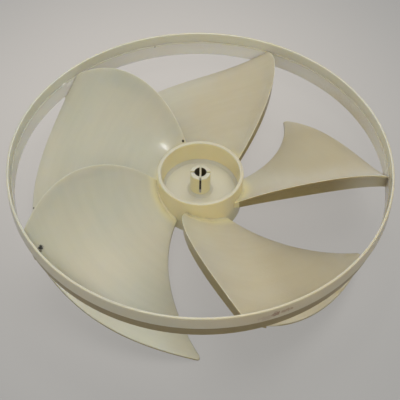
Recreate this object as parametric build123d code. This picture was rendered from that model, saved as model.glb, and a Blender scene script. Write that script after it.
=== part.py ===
# Condenser fan wheel for a window air conditioner, moulded in one piece:
# a cup-shaped hub with a split shaft boss, five swept blades and an outer ring.
import math
import os

from build123d import *

# Ring, millimetres and degrees throughout
RING_OUTER_R = 200.0
RING_WALL = 2.3
RING_TOP = 103.0
RING_UPPER_BAND = 13.5
RING_LOWER_BAND = 17.2
RING_STEP = 1.2
RING_FLARE = 1.2
RING_TAPER = 0.5
RING_EDGE_BREAK = 0.6

# Hub cup
HUB_OUTER_R = 46.5
HUB_WALL = 4.0
HUB_TOP = 71.5
HUB_HEIGHT = 50.0
HUB_DRAFT = 0.6
CUP_DEPTH = 28.0
CUP_FLOOR = 3.0
CUP_CORNER = 3.0
HUB_EDGE_BREAK = 0.8

# Shaft boss
BORE_D = 12.7
BOSS_WALL = 4.6
BOSS_DROP = 0.5
BOSS_LOWER = 12.0
SLOT_COUNT = 4
SLOT_WIDTH = 2.0
SLOT_DEPTH = 22.0
HUB_RIB = 2.0
HUB_RIB_HEIGHT = 10.0

# Blades, angles measured round the axis and heights above the floor
BLADE_COUNT = 5
BLADE_WALL = 2.2
BLADE_EDGE_BREAK = 0.6
ROOT_GUSSET = 2.0
TRAILING_ROOT_ANGLE = -37.8
TRAILING_SWEEP = 33.2
TRAILING_HOOK = 0.9
BLADE_ROOT_SPREAD = 60.8
BLADE_SPREAD_GAIN = 3.1
TRAILING_ROOT_Z = 54.2
TRAILING_TIP_Z = 99.5
TRAILING_ARCH = 32.2
LEADING_ROOT_Z = 37.0
LEADING_TIP_Z = -4.0
LEADING_ARCH = 7.0
TIP_CAMBER = 1.35
TIP_DROOP = 9.0
DROOP_ORDER = 6
TIP_SETBACK = 13.0
RING_JOINT_ANGLE = 6.0
TIP_CORNER_R = 3.0

# Stiffening flange under each trailing edge
FLANGE_WALL = 2.0
FLANGE_SETBACK = 0.8
FLANGE_SINK = 0.6
FLANGE_ROOT_DEPTH = 10.0
FLANGE_TIP_DEPTH = 17.0
FLANGE_ARCH = 6.5

# How finely the blade's formulas are sampled
SPAN_STEPS = 8
CHORD_STEPS = 12
PATCH_MARGIN = 0.04
LONGEST_SEATED_EDGE = 60.0

RING_HEIGHT = RING_UPPER_BAND + RING_LOWER_BAND
RING_SEAT_R = RING_OUTER_R - (RING_WALL + RING_STEP) / 2
RING_INNER_R = RING_OUTER_R - RING_STEP - RING_WALL
RING_FOOT_R = RING_INNER_R + RING_WALL / 2
TIP_R = RING_OUTER_R - TIP_SETBACK
HUB_SEAT_R = HUB_OUTER_R - HUB_DRAFT - HUB_WALL / 2
HUB_BOTTOM = HUB_TOP - HUB_HEIGHT
CUP_FLOOR_Z = HUB_TOP - CUP_DEPTH
WEB_UNDER_Z = CUP_FLOOR_Z - CUP_FLOOR
BOSS_R = BORE_D / 2 + BOSS_WALL
BOSS_BOTTOM = WEB_UNDER_Z - BOSS_LOWER
BLADE_PITCH = 360 / BLADE_COUNT


def polar(radius, angle, height=0.0):
    """A point from its radius, its angle round the axis and its height."""
    turn = math.radians(angle)
    return Vector(radius * math.cos(turn), radius * math.sin(turn), height)


def span_share(radius):
    """How far out a radius lies, 0 at the hub wall and 1 in the ring."""
    return (radius - HUB_OUTER_R) / (RING_SEAT_R - HUB_OUTER_R)


def arched(root, tip, arch, share):
    """A height that runs from root to tip with a parabolic rise between."""
    return root + (tip - root) * share + 4 * arch * share * (1 - share)


def blade_angle(radius, chord):
    """Angle at a radius, for chord 0 on the trailing and 1 on the leading edge."""
    share = span_share(radius)
    trailing = TRAILING_ROOT_ANGLE + TRAILING_SWEEP * share - TRAILING_HOOK * share**2
    spread = BLADE_ROOT_SPREAD + BLADE_SPREAD_GAIN * share
    return trailing + spread * chord


def blade_height(radius, chord):
    """Height of the blade's upper face, falling from trailing to leading edge."""
    share = span_share(radius)
    high = arched(TRAILING_ROOT_Z, TRAILING_TIP_Z, TRAILING_ARCH, share) - TIP_DROOP * share**DROOP_ORDER
    low = arched(LEADING_ROOT_Z, LEADING_TIP_Z, LEADING_ARCH, share)
    fall = chord + TIP_CAMBER * share * chord * (1 - chord) ** 2
    return high + (low - high) * fall


def blade_patch():
    """The upper face of one blade, a little larger than the blade itself."""
    rows = []
    for i in range(SPAN_STEPS + 1):
        share = -PATCH_MARGIN + (1 + 2 * PATCH_MARGIN) * i / SPAN_STEPS
        radius = HUB_OUTER_R + share * (RING_SEAT_R - HUB_OUTER_R)
        row = []
        for j in range(CHORD_STEPS + 1):
            chord = -PATCH_MARGIN + (1 + 2 * PATCH_MARGIN) * j / CHORD_STEPS
            row.append(polar(radius, blade_angle(radius, chord), blade_height(radius, chord)))
        rows.append(row)
    return Face.make_surface_from_array_of_points(rows, tol=0.02)


def edge_points(chord, inner, outer):
    """Plan points along a line of constant chord between two radii."""
    radii = [inner + (outer - inner) * i / SPAN_STEPS for i in range(SPAN_STEPS + 1)]
    return [polar(radius, blade_angle(radius, chord)) for radius in radii]


def free_tip_points():
    """Plan points of the outer edge, from the ring in to the leading corner."""
    start = blade_angle(RING_SEAT_R, 0) + RING_JOINT_ANGLE
    end = blade_angle(TIP_R, 1)
    points = []
    for i in range(SPAN_STEPS + 1):
        along = i / SPAN_STEPS
        radius = TIP_R + (RING_INNER_R - TIP_R) * (1 - along) ** 2
        points.append(polar(radius, start + (end - start) * along))
    return points


def blade_outline():
    """The blade's outline seen along the axis."""
    trailing = edge_points(0, HUB_SEAT_R, RING_SEAT_R)
    free_tip = free_tip_points()
    leading = edge_points(1, HUB_SEAT_R, TIP_R)
    joint_mid = polar(RING_SEAT_R, blade_angle(RING_SEAT_R, 0) + RING_JOINT_ANGLE / 2)
    joint_end = polar(RING_SEAT_R, blade_angle(RING_SEAT_R, 0) + RING_JOINT_ANGLE)
    root_mid = polar(HUB_SEAT_R, (blade_angle(HUB_SEAT_R, 0) + blade_angle(HUB_SEAT_R, 1)) / 2)
    edges = [
        Spline(*trailing),
        ThreePointArc(trailing[-1], joint_mid, joint_end),
        Line(joint_end, free_tip[0]),
        Spline(*free_tip),
        Spline(*leading[::-1]),
        ThreePointArc(leading[0], root_mid, trailing[0]),
    ]
    outline = make_face(edges)
    corner = outline.vertices().sort_by_distance(leading[-1])[0]
    return fillet(corner, TIP_CORNER_R)


def flange():
    """The wall that hangs under the trailing edge, its top inside the sheet and its ends in the walls."""
    upper = []
    lower = []
    for i in range(SPAN_STEPS + 1):
        radius = HUB_SEAT_R + (RING_SEAT_R - HUB_SEAT_R) * i / SPAN_STEPS
        behind = math.degrees((FLANGE_SETBACK + FLANGE_WALL / 2) / radius)
        angle = blade_angle(radius, 0) + behind
        chord = behind / (blade_angle(radius, 1) - blade_angle(radius, 0))
        depth = arched(FLANGE_ROOT_DEPTH, FLANGE_TIP_DEPTH, FLANGE_ARCH, span_share(radius))
        foot_radius = HUB_SEAT_R + (RING_FOOT_R - HUB_SEAT_R) * i / SPAN_STEPS
        upper.append(polar(radius, angle, blade_height(radius, chord) - FLANGE_SINK * BLADE_WALL))
        lower.append(polar(foot_radius, angle, blade_height(radius, 0) - depth))
    middle = Face.make_surface_from_curves(Edge.make_spline(upper), Edge.make_spline(lower))
    return thicken(middle, FLANGE_WALL / 2, both=True)


def through(outline):
    """A plan outline as a column taller than the wheel."""
    reach = 2 * RING_TOP
    return Pos(0, 0, -reach / 2) * extrude(outline, reach * 2, dir=(0, 0, 1))


def blade():
    """One blade with the flange under its trailing edge, its upper edges broken."""
    patch = blade_patch()
    downward = -1 if patch.normal_at().Z > 0 else 1
    sheet = Solid.thicken(patch, downward * BLADE_WALL) & through(blade_outline())
    upper_face = sheet.faces().sort_by(SortBy.AREA)[-1]
    open_edges = upper_face.edges().filter_by(lambda edge: edge.length > LONGEST_SEATED_EDGE)
    sheet = chamfer(open_edges, BLADE_EDGE_BREAK)
    return sheet + flange()


def ring():
    """The stepped outer ring: the upper band leans out to the step, the lower is set in and tapers."""
    bottom = RING_TOP - RING_HEIGHT
    step = RING_TOP - RING_UPPER_BAND
    lower_r = RING_OUTER_R - RING_STEP
    outline = Polyline(
        (RING_OUTER_R - RING_WALL, RING_TOP),
        (RING_OUTER_R, RING_TOP),
        (RING_OUTER_R + RING_FLARE, step - RING_WALL / 2),
        (lower_r, step - RING_WALL / 2),
        (lower_r - RING_TAPER, bottom),
        (RING_INNER_R, bottom),
        (RING_INNER_R, step + RING_WALL / 2),
        (RING_OUTER_R - RING_WALL, step + RING_WALL / 2),
        close=True,
    )
    section = make_face(outline)
    section = chamfer(section.vertices().group_by(Axis.Y)[0], RING_EDGE_BREAK)
    section = chamfer(section.vertices().group_by(Axis.Y)[-1], RING_EDGE_BREAK)
    return revolve(Plane.XZ * section, Axis.Z)


def hub():
    """Cup, floor, skirt and bored boss of the hub as one turned section."""
    bore_r = BORE_D / 2
    boss_top = HUB_TOP - BOSS_DROP
    low_r = HUB_OUTER_R - HUB_DRAFT
    cup_low = (HUB_OUTER_R - HUB_WALL - HUB_DRAFT, CUP_FLOOR_Z)
    boss_foot = (BOSS_R, CUP_FLOOR_Z)
    boss_edge = (BOSS_R, boss_top)
    outline = Polyline(
        (bore_r, BOSS_BOTTOM),
        (bore_r, boss_top),
        boss_edge,
        boss_foot,
        cup_low,
        (HUB_OUTER_R - HUB_WALL, HUB_TOP),
        (HUB_OUTER_R, HUB_TOP),
        (low_r, HUB_BOTTOM),
        (low_r - HUB_WALL + HUB_DRAFT, HUB_BOTTOM),
        (low_r - HUB_WALL, WEB_UNDER_Z),
        (BOSS_R, WEB_UNDER_Z),
        (BOSS_R, BOSS_BOTTOM),
        close=True,
    )
    section = make_face(outline)
    for point, size in ((boss_foot, CUP_CORNER), (cup_low, CUP_CORNER), (boss_edge, HUB_EDGE_BREAK)):
        section = chamfer(section.vertices().sort_by_distance(point)[0], size)
    section = chamfer(section.vertices().group_by(Axis.Y)[-1], HUB_EDGE_BREAK)
    section = chamfer(section.vertices().group_by(Axis.Y)[0], HUB_EDGE_BREAK)
    return revolve(Plane.XZ * section, Axis.Z)


def hub_ribs():
    """Radial ribs under the hub's floor, from the boss out to the skirt."""
    start = BOSS_R - BOSS_WALL / 2
    rib = Pos(start, 0, WEB_UNDER_Z) * Box(
        HUB_SEAT_R - start, HUB_RIB, HUB_RIB_HEIGHT, align=(Align.MIN, Align.CENTER, Align.MAX)
    )
    return [Rot(0, 0, BLADE_PITCH * i) * rib for i in range(BLADE_COUNT)]


def boss_slots():
    """The slots that split the top of the boss."""
    slot = Pos(0, 0, HUB_TOP) * Box(
        BOSS_R + BOSS_WALL, SLOT_WIDTH, 2 * SLOT_DEPTH, align=(Align.MIN, Align.CENTER, Align.CENTER)
    )
    return [Rot(0, 0, 360 / SLOT_COUNT * i) * slot for i in range(SLOT_COUNT)]


def root_edges(body):
    """The long curved edges where the blades' faces run into the hub's outer wall."""
    chosen = []
    for edge in body.edges().filter_by(GeomType.BSPLINE):
        points = [edge.position_at(share) for share in (0, 0.5, 1)]
        on_wall = all(HUB_OUTER_R - HUB_DRAFT <= math.hypot(p.X, p.Y) <= HUB_OUTER_R for p in points)
        if on_wall and edge.length > FLANGE_ROOT_DEPTH:
            chosen.append(edge)
    return chosen


def fan_wheel():
    """The whole moulding, set down on its blade tips with the axis on Z."""
    one = blade()
    blades = [Rot(0, 0, -BLADE_PITCH * i) * one for i in range(BLADE_COUNT)]
    core = hub() + blades
    core = chamfer(root_edges(core), ROOT_GUSSET)
    wheel = core + hub_ribs() + ring() - boss_slots()
    return Pos(0, 0, -wheel.bounding_box().min.Z) * wheel


os.makedirs("parts", exist_ok=True)
export_step(fan_wheel(), "parts/fan_wheel.step")
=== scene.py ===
"""Looks of a moulded fan wheel for an air conditioner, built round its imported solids."""
import logging
import math
from dataclasses import dataclass, field
from enum import Enum

import bpy
from mathutils import Matrix, Vector

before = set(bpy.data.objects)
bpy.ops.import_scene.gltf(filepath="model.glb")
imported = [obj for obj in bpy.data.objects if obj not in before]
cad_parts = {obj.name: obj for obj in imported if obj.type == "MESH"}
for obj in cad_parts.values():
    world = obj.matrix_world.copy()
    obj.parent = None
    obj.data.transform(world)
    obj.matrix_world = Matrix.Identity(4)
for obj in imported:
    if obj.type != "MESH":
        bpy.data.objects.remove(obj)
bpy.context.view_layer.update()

LOG = logging.getLogger("fan_wheel_scene")

Colour = tuple[float, float, float]
Point = tuple[float, float, float]
Span = tuple[float, float]
Feed = bpy.types.NodeSocket | float | tuple[float, ...]

SLOW_LAYERS = 3.0
FINE_LAYERS = 2.0
NOISE_MIDDLE = 0.5
RAY_SAMPLES = 6
WARM_CLOUD: Span = (0.48, 0.74)
COOL_CLOUD: Span = (0.52, 0.26)
EDGE_TURN: Span = (0.985, 0.86)
DEEP_CORNER: Span = (0.78, 0.30)
BROKEN_SHADE: Span = (0.30, 0.62)
SPOT_FADE: Span = (1.0, 0.45)
SPOT_WOBBLE_SCALE = 420.0
FINE_GRAIN_SHARE = 0.25
WHITE: Colour = (1.0, 1.0, 1.0)


class PieceName(Enum):
    """Names of the objects that this scene dresses or makes."""

    WHEEL = "fan_wheel"
    FLOOR = "floor"


class Operation(Enum):
    """The sums that a Math node is asked for."""

    ADD = "ADD"
    SUBTRACT = "SUBTRACT"
    MULTIPLY = "MULTIPLY"
    DIVIDE = "DIVIDE"
    MAXIMUM = "MAXIMUM"
    ABSOLUTE = "ABSOLUTE"


@dataclass
class NodeBoard:
    """A node tree with short calls that place nodes and join them."""

    tree: bpy.types.NodeTree

    def add(self, kind: str) -> bpy.types.Node:
        """Places a shader node.

        Args:
            kind: The node's type without its common prefix.

        Returns:
            The new node.
        """
        return self.tree.nodes.new("ShaderNode" + kind)

    def feed(self, socket: bpy.types.NodeSocket, value: Feed) -> None:
        """Joins a socket to another one, or sets its own value.

        Args:
            socket: The input to fill.
            value: An output socket, or a plain value for the input.
        """
        if isinstance(value, bpy.types.NodeSocket):
            self.tree.links.new(value, socket)
        else:
            socket.default_value = value

    def sum(self, operation: Operation, first: Feed, second: Feed = 0.0) -> bpy.types.NodeSocket:
        """Places a Math node.

        Args:
            operation: The sum to do.
            first: Its first value.
            second: Its second value, where it has one.

        Returns:
            The result.
        """
        node = self.add("Math")
        node.operation = operation.value
        self.feed(node.inputs[0], first)
        self.feed(node.inputs[1], second)
        return node.outputs["Value"]

    def ramp(
        self, value: Feed, start: Feed, end: Feed, low: Feed = 0.0, high: Feed = 1.0
    ) -> bpy.types.NodeSocket:
        """Places a smooth ramp between two values.

        Args:
            value: What is ramped.
            start: The value at which the ramp leaves low.
            end: The value at which the ramp reaches high, which may be the smaller one.
            low: The result before start.
            high: The result after end.

        Returns:
            The ramped value.
        """
        node = self.add("MapRange")
        node.interpolation_type = "SMOOTHSTEP"
        names = ("Value", "From Min", "From Max", "To Min", "To Max")
        for name, given in zip(names, (value, start, end, low, high)):
            self.feed(node.inputs[name], given)
        return node.outputs["Result"]

    def blend(self, share: Feed, first: Feed, second: Feed) -> bpy.types.NodeSocket:
        """Places a colour mix.

        Args:
            share: How much of the second colour is in the mix.
            first: The first colour.
            second: The second colour.

        Returns:
            The mixed colour.
        """
        node = self.add("Mix")
        node.data_type = "RGBA"
        sockets = {socket.identifier: socket for socket in node.inputs}
        self.feed(sockets["Factor_Float"], share)
        self.feed(sockets["A_Color"], first)
        self.feed(sockets["B_Color"], second)
        return next(socket for socket in node.outputs if socket.identifier == "Result_Color")

    def noise(self, vector: Feed, scale: Feed, detail: float) -> bpy.types.NodeSocket:
        """Places a noise texture.

        Args:
            vector: Where it is read.
            scale: How fine it is.
            detail: How many finer layers it has.

        Returns:
            The noise value, about 0.5 on average.
        """
        node = self.add("TexNoise")
        self.feed(node.inputs["Vector"], vector)
        self.feed(node.inputs["Scale"], scale)
        node.inputs["Detail"].default_value = detail
        return node.outputs["Fac"]

    def place(self) -> bpy.types.NodeSocket:
        """The point on the piece, in its own coordinates."""
        return self.add("TexCoord").outputs["Object"]

    def split(self, vector: bpy.types.NodeSocket) -> dict[str, bpy.types.NodeSocket]:
        """Takes a vector apart.

        Args:
            vector: The vector.

        Returns:
            Its three values under X, Y and Z.
        """
        node = self.add("SeparateXYZ")
        self.feed(node.inputs["Vector"], vector)
        return {axis: node.outputs[axis] for axis in "XYZ"}

    def flat(self, vector: bpy.types.NodeSocket) -> bpy.types.NodeSocket:
        """The vector without its height."""
        node = self.add("VectorMath")
        node.operation = "MULTIPLY"
        self.feed(node.inputs[0], vector)
        node.inputs[1].default_value = (1.0, 1.0, 0.0)
        return node.outputs["Vector"]

    def length(self, vector: bpy.types.NodeSocket) -> bpy.types.NodeSocket:
        """The length of a vector."""
        node = self.add("VectorMath")
        node.operation = "LENGTH"
        self.feed(node.inputs[0], vector)
        return node.outputs["Value"]

    def group(self, tree: bpy.types.NodeTree, **values: Feed) -> bpy.types.Node:
        """Places a node group.

        Args:
            tree: The group.
            values: What goes into its inputs, their names with _ for each space.

        Returns:
            The group node.
        """
        node = self.add("Group")
        node.node_tree = tree
        for name, value in values.items():
            self.feed(node.inputs[name.replace("_", " ")], value)
        return node


@dataclass
class EffectGroup:
    """A shared effect: a node group with named inputs and outputs."""

    name: str
    takes: dict[str, str]
    gives: dict[str, str]

    def start(self) -> tuple[NodeBoard, bpy.types.Node, bpy.types.Node]:
        """Makes the empty group.

        Returns:
            The group's board, its input node and its output node.
        """
        tree = bpy.data.node_groups.new(self.name, "ShaderNodeTree")
        for side, sockets in (("INPUT", self.takes), ("OUTPUT", self.gives)):
            for name, kind in sockets.items():
                tree.interface.new_socket(name, in_out=side, socket_type="NodeSocket" + kind)
        return NodeBoard(tree), tree.nodes.new("NodeGroupInput"), tree.nodes.new("NodeGroupOutput")


def cloud_effect() -> bpy.types.NodeTree:
    """Three tones mixed by slow clouds.

    Returns:
        The group, which gives the colour and the cloud value.
    """
    takes = {name: "Color" for name in ("Tone", "Warm Tone", "Cool Tone")}
    takes |= {name: "Float" for name in ("Scale", "Lean")}
    effect = EffectGroup("slow_clouds", takes, {"Color": "Color", "Cloud": "Float"})
    board, given, result = effect.start()
    cloud = board.noise(board.place(), given.outputs["Scale"], SLOW_LAYERS)
    leaned = board.sum(Operation.ADD, cloud, given.outputs["Lean"])
    warm = board.ramp(leaned, *WARM_CLOUD)
    cool = board.ramp(leaned, *COOL_CLOUD)
    colour = board.blend(warm, given.outputs["Tone"], given.outputs["Warm Tone"])
    colour = board.blend(cool, colour, given.outputs["Cool Tone"])
    board.feed(result.inputs["Color"], colour)
    board.feed(result.inputs["Cloud"], cloud)
    return board.tree


def flow_effect() -> bpy.types.NodeTree:
    """Faint arcs round the axis, left where the melt ran outward in the mould.

    Returns:
        The group, which gives the arcs' value, about 0.5 on average.
    """
    takes = {name: "Float" for name in ("Arc Scale", "Radial Scale")}
    effect = EffectGroup("flow_arcs", takes, {"Flow": "Float"})
    board, given, result = effect.start()
    place = board.place()
    flat = board.flat(place)
    along = board.add("VectorMath")
    along.operation = "NORMALIZE"
    board.feed(along.inputs[0], flat)
    axes = board.split(along.outputs["Vector"])
    far = board.sum(Operation.MULTIPLY, board.length(flat), given.outputs["Radial Scale"])
    spot = board.add("CombineXYZ")
    for axis in "XY":
        turned = board.sum(Operation.MULTIPLY, axes[axis], given.outputs["Arc Scale"])
        board.feed(spot.inputs[axis], turned)
    board.feed(spot.inputs["Z"], far)
    board.feed(result.inputs["Flow"], board.noise(spot.outputs["Vector"], 1.0, FINE_LAYERS))
    return board.tree


def edge_effect() -> bpy.types.NodeTree:
    """Where the surface turns sharply: a rounded normal and a mask of the edges.

    Returns:
        The group, which gives the rounded normal and the mask.
    """
    effect = EffectGroup("soft_edges", {"Radius": "Float"}, {"Normal": "Vector", "Edge": "Float"})
    board, given, result = effect.start()
    round_off = board.add("Bevel")
    round_off.samples = RAY_SAMPLES
    board.feed(round_off.inputs["Radius"], given.outputs["Radius"])
    true_face = board.add("NewGeometry")
    alike = board.add("VectorMath")
    alike.operation = "DOT_PRODUCT"
    board.feed(alike.inputs[0], round_off.outputs["Normal"])
    board.feed(alike.inputs[1], true_face.outputs["Normal"])
    board.feed(result.inputs["Normal"], round_off.outputs["Normal"])
    board.feed(result.inputs["Edge"], board.ramp(alike.outputs["Value"], *EDGE_TURN))
    return board.tree


def corner_shade_effect() -> bpy.types.NodeTree:
    """Painted shade: darker where the surface is shut in, in corners, broken up by a fine noise.

    Returns:
        The group, which gives the mask.
    """
    effect = EffectGroup("painted_corner_shade", {"Reach": "Float", "Break": "Float"}, {"Mask": "Float"})
    board, given, result = effect.start()
    # Painted shade: occlusion finds the shut-in corners.
    shut_in = board.add("AmbientOcclusion")
    shut_in.samples = RAY_SAMPLES
    board.feed(shut_in.inputs["Distance"], given.outputs["Reach"])
    deep = board.ramp(shut_in.outputs["AO"], *DEEP_CORNER)
    breakup = board.noise(board.place(), given.outputs["Break"], SLOW_LAYERS)
    broken = board.ramp(breakup, *BROKEN_SHADE)
    board.feed(result.inputs["Mask"], board.sum(Operation.MULTIPLY, deep, broken))
    return board.tree


def mark_effect() -> bpy.types.NodeTree:
    """One ragged spot at a place.

    Returns:
        The group, which gives the spot's mask.
    """
    takes = {"Place": "Vector", "Reach": "Float", "Stretch": "Vector", "Ragged": "Float"}
    effect = EffectGroup("ragged_spot", takes, {"Mask": "Float"})
    board, given, result = effect.start()
    place = board.place()
    away = board.add("VectorMath")
    away.operation = "SUBTRACT"
    board.feed(away.inputs[0], place)
    board.feed(away.inputs[1], given.outputs["Place"])
    shaped = board.add("VectorMath")
    shaped.operation = "DIVIDE"
    board.feed(shaped.inputs[0], away.outputs["Vector"])
    board.feed(shaped.inputs[1], given.outputs["Stretch"])
    far = board.length(shaped.outputs["Vector"])
    far = board.sum(Operation.DIVIDE, far, given.outputs["Reach"])
    wobble = board.noise(place, SPOT_WOBBLE_SCALE, FINE_LAYERS)
    wobble = board.sum(Operation.SUBTRACT, wobble, NOISE_MIDDLE)
    wobble = board.sum(Operation.MULTIPLY, wobble, given.outputs["Ragged"])
    far = board.sum(Operation.ADD, far, wobble)
    board.feed(result.inputs["Mask"], board.ramp(far, *SPOT_FADE))
    return board.tree


def grain_effect() -> bpy.types.NodeTree:
    """The fine unevenness of a surface.

    Returns:
        The group, which gives the height.
    """
    effect = EffectGroup("fine_grain", {"Coarse": "Float", "Fine": "Float"}, {"Height": "Float"})
    board, given, result = effect.start()
    place = board.place()
    coarse = board.noise(place, given.outputs["Coarse"], FINE_LAYERS)
    fine = board.noise(place, given.outputs["Fine"], FINE_LAYERS)
    fine = board.sum(Operation.MULTIPLY, fine, FINE_GRAIN_SHARE)
    board.feed(result.inputs["Height"], board.sum(Operation.ADD, coarse, fine))
    return board.tree


@dataclass(frozen=True)
class ZoneSizes:
    """The radii and heights that part the moulding into zones, in metres."""

    cup_radius: float = 0.0436
    cup_floor: float = 0.0410
    hub_radius: float = 0.0466
    root_radius: float = 0.0600
    bore_radius: float = 0.0067
    band_radius: float = 0.1978
    band_top: float = 0.0884
    blade_inner: float = 0.0515
    blade_outer: float = 0.1955
    # How the painted shade on the ring's lower outer band weakens from front to back.
    band_shade_front_from: float = 0.10
    band_shade_back_share: float = 0.35
    soft: float = 0.0008
    steep: float = 0.25
    sloped: float = 0.42
    # Where the painted shade on the blades' upright walls fades toward the right end.
    shade_fade_from: float = 0.128
    shade_fade_to: float = 0.172
    shade_fade_share: float = 0.30
    # How far the painted light by side reaches to either side.
    side_shade_reach: float = 0.16


def zone_effect(sizes: ZoneSizes) -> bpy.types.NodeTree:
    """Masks of the hub's cup and walls, the bore, the ring's bands and the blades' upright walls,
    where painted light and shade are laid, and a left-to-right ramp for painted light by side.

    Args:
        sizes: Where the zones lie.

    Returns:
        The group, which gives one mask for each zone.
    """
    names = ("Cup", "Hub", "Shaded Bore", "Shaded Band", "Lit Inner", "Lit Foot", "Shaded Upright", "Side")
    effect = EffectGroup("moulding_zones", {}, {name: "Float" for name in names})
    board, _, result = effect.start()
    place = board.place()
    height = board.split(place)["Z"]
    radius = board.length(board.flat(place))
    # The cup, which gets painted light.
    inside_cup = board.ramp(radius, sizes.cup_radius, sizes.cup_radius - sizes.soft)
    above_floor = board.ramp(height, sizes.cup_floor, sizes.cup_floor + sizes.soft)
    board.feed(result.inputs["Cup"], board.sum(Operation.MULTIPLY, inside_cup, above_floor))
    # The bore, painted near black as shade.
    in_bore = board.ramp(radius, sizes.bore_radius, sizes.bore_radius - sizes.soft / 2)
    board.feed(result.inputs["Shaded Bore"], in_bore)
    # Painted shade on the ring's lower outer band, full at the front and weaker behind.
    outside = board.ramp(radius, sizes.band_radius - sizes.soft, sizes.band_radius)
    below_step = board.ramp(height, sizes.band_top + sizes.soft / 2, sizes.band_top)
    band = board.sum(Operation.MULTIPLY, outside, below_step)
    along = board.split(place)["Y"]
    front = board.ramp(along, sizes.band_shade_front_from, -sizes.band_shade_front_from, sizes.band_shade_back_share, 1.0)
    board.feed(result.inputs["Shaded Band"], board.sum(Operation.MULTIPLY, band, front))
    # The ring's inner face, which gets painted light.
    normal = board.add("TexCoord").outputs["Normal"]
    inward = board.add("VectorMath")
    inward.operation = "DOT_PRODUCT"
    board.feed(inward.inputs[0], normal)
    board.feed(inward.inputs[1], board.flat(place))
    facing_in = board.ramp(inward.outputs["Value"], 0.0, -sizes.blade_outer / 2)
    on_ring = board.ramp(radius, sizes.blade_outer, sizes.blade_outer + sizes.soft)
    inner = board.sum(Operation.MULTIPLY, facing_in, on_ring)
    board.feed(result.inputs["Lit Inner"], inner)
    # The ring's lower inner band, which gets painted light and painted floor reflection.
    board.feed(result.inputs["Lit Foot"], board.sum(Operation.MULTIPLY, inner, below_step))
    # Hub walls and blade roots, which get the painted light of the hub tone.
    rising = board.sum(Operation.ABSOLUTE, board.split(normal)["Z"])
    upright = board.ramp(rising, sizes.sloped, sizes.steep)
    by_hub = board.ramp(radius, sizes.hub_radius + sizes.soft, sizes.hub_radius)
    walls = board.sum(Operation.MULTIPLY, upright, by_hub)
    roots = board.ramp(radius, sizes.root_radius, sizes.hub_radius)
    past_wall = board.ramp(radius, sizes.hub_radius - sizes.soft, sizes.hub_radius)
    roots = board.sum(Operation.MULTIPLY, roots, past_wall)
    board.feed(result.inputs["Hub"], board.sum(Operation.MAXIMUM, walls, roots))
    for start, end in (
        (sizes.blade_inner, sizes.blade_inner + sizes.soft),
        (sizes.blade_outer, sizes.blade_outer - sizes.soft),
    ):
        upright = board.sum(Operation.MULTIPLY, upright, board.ramp(radius, start, end))
    # Painted shade on the blades' upright walls, paler toward the right end.
    across = board.split(place)["X"]
    paler_end = board.ramp(across, sizes.shade_fade_from, sizes.shade_fade_to, 1.0, sizes.shade_fade_share)
    board.feed(result.inputs["Shaded Upright"], board.sum(Operation.MULTIPLY, upright, paler_end))
    # Left-to-right ramp for the painted light by side.
    board.feed(result.inputs["Side"], board.ramp(across, -sizes.side_shade_reach, sizes.side_shade_reach))
    return board.tree


@dataclass(frozen=True)
class Mark:
    """One spot on the plastic: a small stain, a painted shade patch or a painted glint."""

    place: Point
    reach: float
    tone: Colour
    strength: float = 1.0
    stretch: Point = (1.0, 1.0, 1.0)
    ragged: float = 0.9


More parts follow.
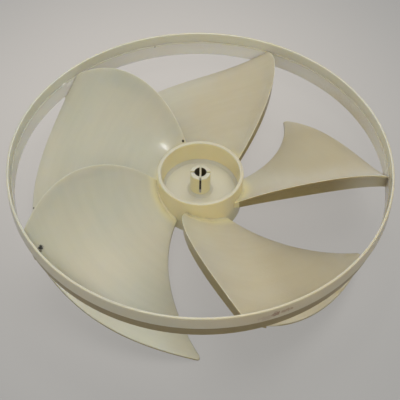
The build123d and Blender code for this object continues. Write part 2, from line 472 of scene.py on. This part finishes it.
@dataclass(frozen=True)
class PlasticFinish:
    """Natural cream plastic, a little translucent, with a satin gloss, small stains, and painted
    light and shade laid by zone.
    """

    tone: Colour = (0.540, 0.510, 0.395)
    warm_tone: Colour = (0.525, 0.472, 0.335)
    cool_tone: Colour = (0.492, 0.490, 0.395)
    # Painted light: the cup lighter and yellower than the blades.
    cup_light_tone: Colour = (0.560, 0.535, 0.430)
    # Hub walls and blade roots: partly the thick walls' yellower tone, partly painted light, much
    # brighter than the blades.
    hub_light_tone: Colour = (0.790, 0.715, 0.430)
    # Painted light: the ring's inner face lighter and greyer than the blades.
    inner_light_tone: Colour = (0.735, 0.735, 0.650)
    # Painted light and painted floor reflection: the ring's lower inner band pale grey.
    foot_light_tone: Colour = (0.790, 0.770, 0.760)
    # Painted shade: the ring's lower outer band in dark olive, full at the front and weaker behind.
    band_shade_tone: Colour = (0.200, 0.148, 0.032)
    # Painted shade: dark olive on the blades' upright walls and flanges.
    upright_shade_tone: Colour = (0.250, 0.192, 0.070)
    # Painted shade: the deep bore near black.
    bore_shade_tone: Colour = (0.052, 0.038, 0.018)
    # Pale tone for the flow streaks and for the painted highlight along sharp edges.
    flow_and_edge_highlight_tone: Colour = (0.700, 0.670, 0.560)
    # Painted shade laid in corners, where the surface is shut in.
    corner_shade_tone: Colour = (0.190, 0.150, 0.090)
    cup_light_share: float = 0.80
    hub_light_share: float = 0.85
    inner_light_share: float = 0.80
    foot_light_share: float = 0.75
    band_shade_share: float = 0.85
    upright_shade_share: float = 0.88
    edge_highlight_share: float = 0.15
    corner_shade_share: float = 0.35
    flow_share: float = 0.08
    # Painted light by side: the right side leans to the warmer, darker tone and the left to the
    # cooler one.
    side_shade_lean: Span = (-0.10, 0.16)
    streak_span: Span = (0.30, 0.70)
    cloud_scale: float = 7.0
    cloud_span: Span = (0.25, 0.75)
    arc_scale: float = 2.2
    radial_scale: float = 150.0
    corner_shade_reach: float = 0.006
    corner_shade_break: float = 160.0
    roughness_low: float = 0.27
    roughness_high: float = 0.40
    translucency: float = 0.85
    scatter_radius: tuple[float, float, float] = (1.0, 0.86, 0.55)
    scatter_depth: float = 0.006
    gloss_coat: float = 0.24
    gloss_roughness: float = 0.13
    specular_level: float = 0.32
    edge_radius: float = 0.0010
    bump_depth: float = 0.00010
    bump_strength: float = 0.5
    coarse_grain: float = 260.0
    fine_grain: float = 1400.0
    flow_height: float = 0.5
    marks: tuple[Mark, ...] = (
        # Painted shade: darker, yellower patches on the right and front blades.
        Mark((0.1250, 0.0700, 0.0400), 0.0900, (0.440, 0.375, 0.215), 0.60, ragged=0.25),
        Mark((0.1150, -0.1050, 0.0380), 0.0750, (0.420, 0.365, 0.240), 0.50, ragged=0.25),
        # Dark chips and specks.
        Mark((-0.1540, -0.1092, 0.0780), 0.0044, (0.020, 0.018, 0.015), 0.95, (0.7, 0.9, 1.3), 1.8),
        Mark((-0.0205, 0.0528, 0.0637), 0.0022, (0.025, 0.020, 0.015), 1.0, (0.8, 1.0, 1.0)),
        Mark((-0.1862, -0.0132, 0.0195), 0.0016, (0.060, 0.050, 0.035), 0.85),
        Mark((-0.0587, 0.1873, 0.0891), 0.0012, (0.060, 0.050, 0.035), 0.85),
        # Brown smudge on the near ring.
        Mark((0.0690, -0.1882, 0.0950), 0.0042, (0.230, 0.110, 0.060), 0.70, (1.3, 1.0, 0.9), 1.8),
        Mark((0.0790, -0.1842, 0.0955), 0.0050, (0.270, 0.150, 0.090), 0.55, (1.8, 1.0, 0.6), 1.8),
        Mark((0.0600, -0.1915, 0.0930), 0.0050, (0.420, 0.330, 0.250), 0.55, (2.0, 1.0, 0.8), 1.8),
        # Painted glints: pale spots where blades meet the ring.
        Mark((-0.1555, 0.1200, 0.0860), 0.0050, (0.900, 0.890, 0.830), 0.85, (1.0, 1.0, 0.7), 1.4),
        Mark((-0.1600, 0.1140, 0.0895), 0.0040, (0.900, 0.890, 0.830), 0.65, (1.2, 1.2, 0.5), 1.4),
        Mark((0.1959, 0.0048, 0.0849), 0.0040, (0.900, 0.880, 0.830), 0.80, (1.0, 1.2, 0.7), 1.4),
        Mark((0.1962, -0.0048, 0.0821), 0.0045, (0.900, 0.880, 0.830), 0.70, (1.0, 0.7, 1.6), 1.4),
        Mark((0.1881, -0.0081, 0.0832), 0.0034, (0.900, 0.880, 0.830), 0.85, (1.6, 0.7, 1.0), 1.2),
    )


@dataclass
class FanWheel:
    """The one moulding: its solids come from the frame, this class dresses them."""

    finish: PlasticFinish = field(default_factory=PlasticFinish)
    zones: ZoneSizes = field(default_factory=ZoneSizes)

    def coloured(
        self, board: NodeBoard, masks: dict[str, bpy.types.NodeSocket]
    ) -> bpy.types.NodeSocket:
        """Lays the plastic's tones over each other, painted light and shade among them, the stains
        last.

        Args:
            board: The material's board.
            masks: The zone, edge, corner shade, flow and cloud values under their names.

        Returns:
            The finished colour.
        """
        finish = self.finish
        colour = masks["Color"]
        streak = board.ramp(masks["Flow"], *finish.streak_span, 0.0, finish.flow_share)
        colour = board.blend(streak, colour, (*finish.flow_and_edge_highlight_tone, 1.0))
        layers = (
            # Painted light in the cup.
            ("Cup", finish.cup_light_share, finish.cup_light_tone),
            # Painted light, partly yellower thick plastic, on the hub walls and blade roots.
            ("Hub", finish.hub_light_share, finish.hub_light_tone),
            # Painted light on the ring's inner face.
            ("Lit Inner", finish.inner_light_share, finish.inner_light_tone),
            # Painted light and floor reflection on the ring's lower inner band.
            ("Lit Foot", finish.foot_light_share, finish.foot_light_tone),
            # Painted shade on the ring's lower outer band.
            ("Shaded Band", finish.band_shade_share, finish.band_shade_tone),
            # Painted highlight along sharp edges.
            ("Edge", finish.edge_highlight_share, finish.flow_and_edge_highlight_tone),
            # Painted shade on the blades' upright walls and flanges.
            ("Shaded Upright", finish.upright_shade_share, finish.upright_shade_tone),
            # Painted shade in corners.
            ("Corner Shade", finish.corner_shade_share, finish.corner_shade_tone),
            # Painted shade in the bore.
            ("Shaded Bore", 1.0, finish.bore_shade_tone),
        )
        for name, share, tone in layers:
            laid = board.sum(Operation.MULTIPLY, masks[name], share)
            colour = board.blend(laid, colour, (*tone, 1.0))
        spot = mark_effect()
        for mark in finish.marks:
            node = board.group(
                spot, Place=mark.place, Reach=mark.reach, Stretch=mark.stretch, Ragged=mark.ragged
            )
            share = board.sum(Operation.MULTIPLY, node.outputs["Mask"], mark.strength)
            colour = board.blend(share, colour, (*mark.tone, 1.0))
        return colour

    def material(self, clouds: bpy.types.NodeTree, grain: bpy.types.NodeTree) -> bpy.types.Material:
        """Makes the cream plastic.

        Args:
            clouds: The group of slow clouds.
            grain: The group of fine grain.

        Returns:
            The material.
        """
        finish = self.finish
        made = bpy.data.materials.new("cream_plastic")
        made.use_nodes = True
        board = NodeBoard(made.node_tree)
        shader = made.node_tree.nodes["Principled BSDF"]
        zones = board.group(zone_effect(self.zones))
        # Painted light by side: shifts the clouds toward warm and dark on the right, cool on the
        # left.
        side_shade_lean = board.ramp(zones.outputs["Side"], 0.0, 1.0, *finish.side_shade_lean)
        cloud = board.group(
            clouds,
            Tone=(*finish.tone, 1.0),
            Warm_Tone=(*finish.warm_tone, 1.0),
            Cool_Tone=(*finish.cool_tone, 1.0),
            Scale=finish.cloud_scale,
            Lean=side_shade_lean,
        )
        flow = board.group(
            flow_effect(), Arc_Scale=finish.arc_scale, Radial_Scale=finish.radial_scale
        )
        edges = board.group(edge_effect(), Radius=finish.edge_radius)
        corner_shade_group = board.group(corner_shade_effect(), Reach=finish.corner_shade_reach, Break=finish.corner_shade_break)
        sources = (zones, cloud, flow, edges)
        masks = {socket.name: socket for node in sources for socket in node.outputs}
        masks["Corner Shade"] = corner_shade_group.outputs["Mask"]
        board.feed(shader.inputs["Base Color"], self.coloured(board, masks))
        gloss = (finish.roughness_low, finish.roughness_high)
        rough = board.ramp(cloud.outputs["Cloud"], *finish.cloud_span, *gloss)
        board.feed(shader.inputs["Roughness"], rough)
        fine = board.group(grain, Coarse=finish.coarse_grain, Fine=finish.fine_grain)
        arcs = board.sum(Operation.MULTIPLY, flow.outputs["Flow"], finish.flow_height)
        height = board.sum(Operation.ADD, fine.outputs["Height"], arcs)
        bump = board.add("Bump")
        bump.inputs["Strength"].default_value = finish.bump_strength
        bump.inputs["Distance"].default_value = finish.bump_depth
        board.feed(bump.inputs["Height"], height)
        board.feed(bump.inputs["Normal"], edges.outputs["Normal"])
        board.feed(shader.inputs["Normal"], bump.outputs["Normal"])
        shader.inputs["Subsurface Weight"].default_value = finish.translucency
        shader.inputs["Subsurface Radius"].default_value = finish.scatter_radius
        shader.inputs["Subsurface Scale"].default_value = finish.scatter_depth
        shader.inputs["Specular IOR Level"].default_value = finish.specular_level
        shader.inputs["Coat Weight"].default_value = finish.gloss_coat
        shader.inputs["Coat Roughness"].default_value = finish.gloss_roughness
        return made

    def dress(self, clouds: bpy.types.NodeTree, grain: bpy.types.NodeTree) -> bpy.types.Object:
        """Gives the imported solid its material.

        Args:
            clouds: The group of slow clouds.
            grain: The group of fine grain.

        Returns:
            The dressed object.
        """
        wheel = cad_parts[PieceName.WHEEL.value]
        plastic = self.material(clouds, grain)
        for place in wheel.material_slots:
            place.material = plastic
        if not wheel.material_slots:
            wheel.data.materials.append(plastic)
        return wheel


@dataclass(frozen=True)
class FloorFinish:
    """Plain pale floor with a painted pool of light, lightest behind the wheel's middle, very
    slightly uneven in tone.
    """

    lit_tone: Colour = (0.360, 0.345, 0.325)
    # Painted pool of light: brightest around this place, fading to the outer tone.
    lit_pool_tone: Colour = (0.670, 0.632, 0.590)
    outer_tone: Colour = (0.372, 0.370, 0.360)
    lit_pool_place: Point = (-0.06, 0.18, 0.0)
    lit_pool_inner: float = 0.04
    lit_pool_outer: float = 0.52
    cloud_share: float = 0.06
    cloud_scale: float = 2.2
    coarse_grain: float = 90.0
    fine_grain: float = 700.0
    bump_strength: float = 0.2
    bump_depth: float = 0.0001
    roughness: float = 0.6
    seen_share: float = 0.66


@dataclass
class Floor:
    """The pale floor that the wheel stands on."""

    finish: FloorFinish = field(default_factory=FloorFinish)
    reach: float = 3.0
    depth: float = 0.02
    sides: int = 96

    def build(self, clouds: bpy.types.NodeTree, grain: bpy.types.NodeTree) -> bpy.types.Object:
        """Makes the floor, a wide round slab whose top is at height zero.

        Args:
            clouds: The group of slow clouds.
            grain: The group of fine grain.

        Returns:
            The floor object.
        """
        bpy.ops.object.select_all(action="DESELECT")
        bpy.ops.mesh.primitive_circle_add(
            vertices=self.sides, radius=self.reach, fill_type="NGON"
        )
        floor = bpy.context.active_object
        floor.name = PieceName.FLOOR.value
        bpy.ops.object.mode_set(mode="EDIT")
        bpy.ops.mesh.select_all(action="SELECT")
        bpy.ops.mesh.extrude_region_move(
            TRANSFORM_OT_translate={"value": (0.0, 0.0, -self.depth)}
        )
        bpy.ops.mesh.select_all(action="SELECT")
        bpy.ops.mesh.normals_make_consistent(inside=False)
        bpy.ops.object.mode_set(mode="OBJECT")
        floor.data.materials.append(self.material(clouds, grain))
        return floor

    def material(self, clouds: bpy.types.NodeTree, grain: bpy.types.NodeTree) -> bpy.types.Material:
        """Makes the floor's paint, part lit and part seen at a set tone, the seen tone being a
        painted pool of light.

        Args:
            clouds: The group of slow clouds.
            grain: The group of fine grain.

        Returns:
            The material.
        """
        finish = self.finish
        made = bpy.data.materials.new("pale_floor")
        made.use_nodes = True
        board = NodeBoard(made.node_tree)
        shader = made.node_tree.nodes["Principled BSDF"]
        lit = (*finish.lit_tone, 1.0)
        paler = tuple(value * (1.0 + finish.cloud_share) for value in finish.lit_tone)
        darker = tuple(value * (1.0 - finish.cloud_share) for value in finish.lit_tone)
        cloud = board.group(
            clouds,
            Tone=lit,
            Warm_Tone=(*paler, 1.0),
            Cool_Tone=(*darker, 1.0),
            Scale=finish.cloud_scale,
        )
        board.feed(shader.inputs["Base Color"], cloud.outputs["Color"])
        shader.inputs["Roughness"].default_value = finish.roughness
        bump = board.add("Bump")
        bump.inputs["Strength"].default_value = finish.bump_strength
        bump.inputs["Distance"].default_value = finish.bump_depth
        fine = board.group(grain, Coarse=finish.coarse_grain, Fine=finish.fine_grain)
        board.feed(bump.inputs["Height"], fine.outputs["Height"])
        board.feed(shader.inputs["Normal"], bump.outputs["Normal"])
        # Painted pool of light, brightest behind the wheel's middle.
        away = board.add("VectorMath")
        away.operation = "DISTANCE"
        board.feed(away.inputs[0], board.place())
        away.inputs[1].default_value = finish.lit_pool_place
        outward = board.ramp(away.outputs["Value"], finish.lit_pool_inner, finish.lit_pool_outer)
        seen = board.blend(outward, (*finish.lit_pool_tone, 1.0), (*finish.outer_tone, 1.0))
        glow = board.add("Emission")
        board.feed(glow.inputs["Color"], seen)
        path = board.add("LightPath")
        direct = path.outputs["Is Camera Ray"]
        for kind in ("Is Glossy Ray", "Is Transmission Ray"):
            direct = board.sum(Operation.MAXIMUM, direct, path.outputs[kind])
        mixed = board.add("MixShader")
        board.feed(mixed.inputs["Fac"], board.sum(Operation.MULTIPLY, direct, finish.seen_share))
        board.feed(mixed.inputs[1], shader.outputs["BSDF"])
        board.feed(mixed.inputs[2], glow.outputs["Emission"])
        end = made.node_tree.nodes["Material Output"]
        board.feed(end.inputs["Surface"], mixed.outputs["Shader"])
        return made


@dataclass(frozen=True)
class View:
    """Where the camera stands, worked out for a square picture 400 pixels wide."""

    elevation_deg: float = 50.35
    distance: float = 0.750
    aim_right: float = 0.0001
    aim_up: float = -0.0506
    ring_top: float = 0.1028
    focal_px: float = 719.1
    picture_px: float = 400.0
    roll_deg: float = 1.14
    sensor_mm: float = 36.0
    clip_start: float = 0.01
    clip_end: float = 20.0

    def location(self) -> Vector:
        """Camera position in the frame, in metres."""
        turn = math.radians(self.elevation_deg)
        back = Vector((0.0, -math.cos(turn), math.sin(turn)))
        up = Vector((0.0, math.sin(turn), math.cos(turn)))
        centre = Vector((self.aim_right, 0.0, self.ring_top))
        return centre + back * self.distance + up * self.aim_up

    def build(self) -> bpy.types.Object:
        """Makes the camera and sets it as the scene's own.

        Returns:
            The camera object.
        """
        data = bpy.data.cameras.new("view")
        data.sensor_fit = "HORIZONTAL"
        data.sensor_width = self.sensor_mm
        data.lens = self.focal_px / self.picture_px * self.sensor_mm
        data.clip_start = self.clip_start
        data.clip_end = self.clip_end
        camera = bpy.data.objects.new("view", data)
        bpy.context.scene.collection.objects.link(camera)
        camera.location = self.location()
        tilt = Matrix.Rotation(math.radians(90.0 - self.elevation_deg), 3, "X")
        roll = Matrix.Rotation(math.radians(self.roll_deg), 3, "Z")
        camera.rotation_euler = (tilt @ roll).to_euler("XYZ")
        bpy.context.scene.camera = camera
        return camera


@dataclass(frozen=True)
class SoftLamp:
    """One square area lamp aimed at the wheel."""

    name: str
    place: Point
    size: float
    power: float
    tint: Colour = WHITE
    shines: bool = True
    aim: Point = (0.0, 0.0, 0.06)

    def build(self) -> bpy.types.Object:
        """Makes the lamp, which shows in gloss only where it shines.

        Returns:
            The lamp object.
        """
        data = bpy.data.lights.new(self.name, "AREA")
        data.shape = "SQUARE"
        data.size = self.size
        data.energy = self.power
        data.color = self.tint
        lamp = bpy.data.objects.new(self.name, data)
        bpy.context.scene.collection.objects.link(lamp)
        lamp.location = self.place
        lamp.visible_camera = False
        lamp.visible_glossy = self.shines
        toward = Vector(self.aim) - Vector(self.place)
        lamp.rotation_euler = toward.to_track_quat("-Z", "Y").to_euler()
        return lamp


@dataclass
class Studio:
    """A ceiling lamp, a soft fill and a spark in front, and a surround brightest behind."""

    lamps: tuple[SoftLamp, ...] = (
        SoftLamp("ceiling", (0.20, 0.30, 2.3), 1.6, 24.5, (1.0, 0.99, 0.975)),
        SoftLamp("front fill", (0.25, -1.50, 1.70), 1.3, 12.0, (1.0, 0.985, 0.96), False),
        SoftLamp("front spark", (-0.11, -1.28, 1.81), 0.15, 4.2),
    )
    bright_side: Point = (-0.45, 0.65, 0.60)
    bright: float = 0.55
    dim: float = 0.16
    dim_from: float = -0.5
    seen_tone: Colour = (0.400, 0.390, 0.378)

    def build(self) -> None:
        """Makes the lamps and the surround."""
        for lamp in self.lamps:
            lamp.build()
        world = bpy.context.scene.world or bpy.data.worlds.new("surround")
        bpy.context.scene.world = world
        world.use_nodes = True
        board = NodeBoard(world.node_tree)
        toward = board.add("VectorMath")
        toward.operation = "DOT_PRODUCT"
        board.feed(toward.inputs[0], board.add("TexCoord").outputs["Generated"])
        toward.inputs[1].default_value = Vector(self.bright_side).normalized()
        strength = board.ramp(toward.outputs["Value"], self.dim_from, 1.0, self.dim, self.bright)
        light = world.node_tree.nodes["Background"]
        light.inputs["Color"].default_value = (*WHITE, 1.0)
        board.feed(light.inputs["Strength"], strength)
        seen = board.add("Background")
        seen.inputs["Color"].default_value = (*self.seen_tone, 1.0)
        mixed = board.add("MixShader")
        board.feed(mixed.inputs["Fac"], board.add("LightPath").outputs["Is Camera Ray"])
        board.feed(mixed.inputs[1], light.outputs["Background"])
        board.feed(mixed.inputs[2], seen.outputs["Background"])
        end = world.node_tree.nodes["World Output"]
        board.feed(end.inputs["Surface"], mixed.outputs["Shader"])
        bpy.context.scene.view_settings.view_transform = "Standard"


def main() -> None:
    """Builds the scene in order and logs each piece."""
    logging.basicConfig(level=logging.INFO)
    clouds = cloud_effect()
    grain = grain_effect()
    camera = View().build()
    LOG.info("placed %s", camera.name)
    wheel = FanWheel().dress(clouds, grain)
    LOG.info("dressed %s", wheel.name)
    floor = Floor().build(clouds, grain)
    LOG.info("made %s", floor.name)
    Studio().build()
    LOG.info("placed the lights")


if __name__ == "__main__":
    main()
